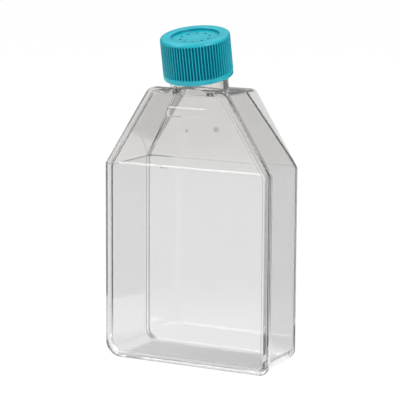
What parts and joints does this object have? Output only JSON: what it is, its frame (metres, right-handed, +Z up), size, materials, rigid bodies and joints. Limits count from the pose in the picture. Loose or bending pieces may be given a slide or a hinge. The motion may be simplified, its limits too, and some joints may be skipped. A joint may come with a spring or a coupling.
{
  "type": "cell culture flask",
  "caption": "Clear canted-neck tissue culture flask standing on its end: drafted tub with a pouring ramp, welded framed cover plate, and a ribbed turquoise vented screw cap.",
  "frame": {"origin": "middle of the flat end wall that the flask stands on, at the height of the surface it stands on", "axes": "+Z up along the flask towards the neck, +Y towards the growth face, +X to the right seen from the cover plate"},
  "size_m": [0.088, 0.045, 0.1623],
  "materials": {
    "clear_tub": "crystal clear injection-moulded polystyrene, polished",
    "clear_cover": "crystal clear injection-moulded polystyrene, polished",
    "cap_plastic": "satin moulded polyethylene, turquoise",
    "membrane": "matt white hydrophobic filter film"
  },
  "bodies": {
    "flask": {"flask_body": "clear_tub", "cover_plate": "clear_cover"},
    "cap_carrier": {"filter_membrane": "membrane"},
    "cap": {"cap_shell": "cap_plastic"}
  },
  "joints": [
    {"name": "cap_lift", "type": "slide", "parent": "flask", "child": "cap_carrier", "axis": [0, -0.2079, 0.9781], "range_m": [0, 0.005]},
    {"name": "cap_turn", "type": "hinge", "parent": "cap_carrier", "child": "cap", "pos_m": [0, -0.00475, 0.134], "axis": [0, -0.2079, 0.9781], "range_deg": [0, 450]}
  ],
  "couplings": [
    {"joint": "cap_lift", "follows": "cap_turn", "m_per_rad": 0.0006366}
  ]
}
